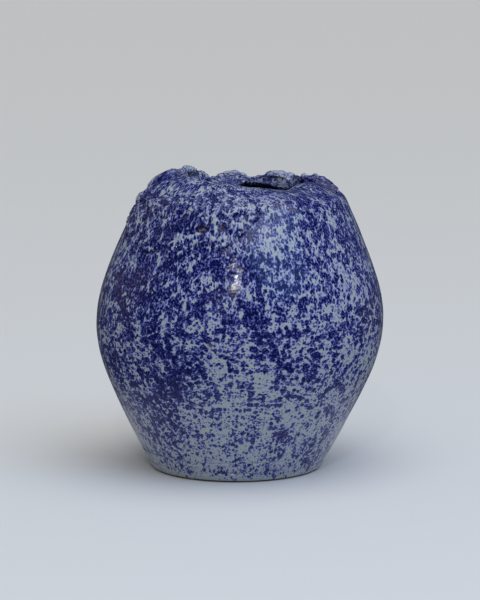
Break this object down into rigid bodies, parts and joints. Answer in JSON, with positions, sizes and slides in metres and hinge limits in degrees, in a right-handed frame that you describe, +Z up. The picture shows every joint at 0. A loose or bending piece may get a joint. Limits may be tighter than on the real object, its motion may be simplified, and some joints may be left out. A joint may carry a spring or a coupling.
{
  "type": "flower vase",
  "caption": "Round-bellied hand-built stoneware vase with a torn, folded rim, a narrow mouth and a bare foot ring, in glossy speckled blue glaze.",
  "frame": {"origin": "on the table, under the centre of the belly", "axes": "+Z up through the mouth, +X towards the lower of the two side folds (rim_right_fold), -Y the front, where the lip is smooth"},
  "size_m": [0.1489, 0.1488, 0.1562],
  "materials": {
    "bare_clay": "unglazed fired stoneware, matt, dark brown",
    "speckled_glaze": "glossy glaze, cobalt blue speckles over pale grey",
    "rim_glaze": "glossy glaze pooled over torn clay, denser cobalt blue"
  },
  "bodies": {
    "root": {"foot_ring": "bare_clay", "base_slab": "speckled_glaze", "lower_wall": "speckled_glaze", "upper_wall": "speckled_glaze", "shoulder_flap": "rim_glaze", "rim_left_fold": "rim_glaze", "rim_back_left": "rim_glaze", "rim_back_right": "rim_glaze", "rim_right_fold": "rim_glaze", "rim_front_lip": "rim_glaze"}
  },
  "joints": []
}
